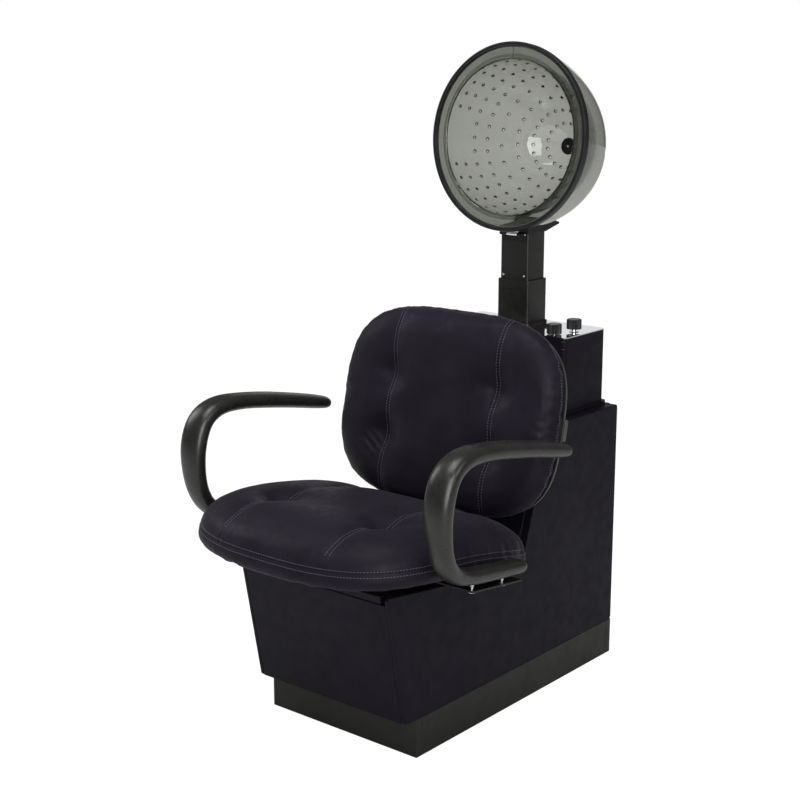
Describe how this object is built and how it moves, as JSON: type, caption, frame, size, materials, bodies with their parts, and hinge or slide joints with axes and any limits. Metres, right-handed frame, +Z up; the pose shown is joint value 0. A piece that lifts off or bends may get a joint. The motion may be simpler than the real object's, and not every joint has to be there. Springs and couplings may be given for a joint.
{
  "type": "hood hair dryer",
  "caption": "Salon hood hair dryer on a cushioned chair: smoked double bonnet, telescopic square post, control box and boxy base cabinet.",
  "frame": {"origin": "on the floor, under the middle of the whole dryer", "axes": "+Z up; a sitter in the chair faces -Y; +X is to the sitter's left, and is the side that carries the knobs"},
  "size_m": [0.6814, 0.9824, 1.3333],
  "materials": {
    "laminate": "purple-black plastic laminate on board, fine grain, satin",
    "plinth_laminate": "dark grey-green toe-kick laminate, satin",
    "board": "raw plywood",
    "vinyl": "purple-black upholstery vinyl over foam, fine grain, double-stitched seams",
    "urethane": "self-skinned urethane, dark grey-green, soft sheen",
    "moulded_shell": "moulded plastic, dark grey",
    "black_steel": "black enamelled steel",
    "post_steel": "dark grey enamelled steel",
    "zinc": "zinc-plated steel",
    "impeller_alloy": "cast aluminium",
    "chrome": "bright chrome plate",
    "smoked_plastic": "smoked transparent plastic, polished",
    "black_rubber": "black rubber",
    "knob_plastic": "black moulded plastic",
    "mica": "mica board"
  },
  "bodies": {
    "base": {"side_panel_left": "laminate", "side_panel_right": "laminate", "front_panel": "laminate", "rear_panel": "laminate", "tower_front_panel": "laminate", "seat_deck": "laminate", "tower_top": "laminate", "control_box": "laminate", "box_flange": "laminate", "plinth_front": "plinth_laminate", "plinth_rear": "plinth_laminate", "plinth_side_left": "plinth_laminate", "plinth_side_right": "plinth_laminate", "cabinet_floor": "board", "seat_board": "board", "seat_cushion": "vinyl", "back_cushion": "vinyl", "arm_left": "urethane", "arm_right": "urethane", "back_shell": "moulded_shell", "back_mount_plate": "moulded_shell", "inlet_grille": "moulded_shell", "seat_rail_left": "black_steel", "seat_rail_right": "black_steel", "arm_bracket_left": "black_steel", "arm_bracket_right": "black_steel", "back_standoff_left": "black_steel", "back_standoff_right": "black_steel", "post_bracket": "black_steel", "blower_bracket": "black_steel", "outer_post": "post_steel", "arm_bolt_left_1": "zinc", "arm_bolt_left_2": "zinc", "arm_bolt_right_1": "zinc", "arm_bolt_right_2": "zinc", "blower_housing": "zinc", "blower_motor": "zinc", "control_plate": "chrome", "post_collar": "black_rubber", "post_bush": "black_rubber", "cable_gland": "black_rubber", "timer_body": "knob_plastic", "heat_switch": "knob_plastic", "heater_element": "mica"},
    "post": {"inner_post": "post_steel", "stop_screw_left": "zinc", "stop_screw_right": "zinc", "hinge_leaf_lower": "chrome", "hinge_pin": "chrome"},
    "hood": {"hinge_leaf_upper": "chrome", "hood_shoe": "black_steel", "outer_bonnet": "smoked_plastic", "inner_bonnet": "smoked_plastic", "front_ring": "smoked_plastic", "rim_gasket": "black_rubber", "hub_plug": "black_rubber"},
    "timer": {"timer_knob": "knob_plastic"},
    "heat": {"heat_knob": "knob_plastic"},
    "fan": {"impeller": "impeller_alloy"}
  },
  "joints": [
    {"name": "post_slide", "type": "slide", "parent": "base", "child": "post", "axis": [0, 0, 1], "range_m": [0, 0.15]},
    {"name": "hood_tilt", "type": "hinge", "parent": "post", "child": "hood", "pos_m": [0, 0.274, 0.9365], "axis": [1, 0, 0], "range_deg": [0, 75]},
    {"name": "timer_knob_turn", "type": "hinge", "parent": "base", "child": "timer", "pos_m": [0.121, 0.26, 0.75], "axis": [0, 0, -1], "range_deg": [0, 300]},
    {"name": "heat_knob_turn", "type": "hinge", "parent": "base", "child": "heat", "pos_m": [0.138, 0.309, 0.75], "axis": [0, 0, -1], "range_deg": [0, 270]},
    {"name": "impeller_spin", "type": "hinge", "parent": "base", "child": "fan", "pos_m": [0, 0.276, 0.36], "axis": [1, 0, 0], "continuous": true}
  ]
}
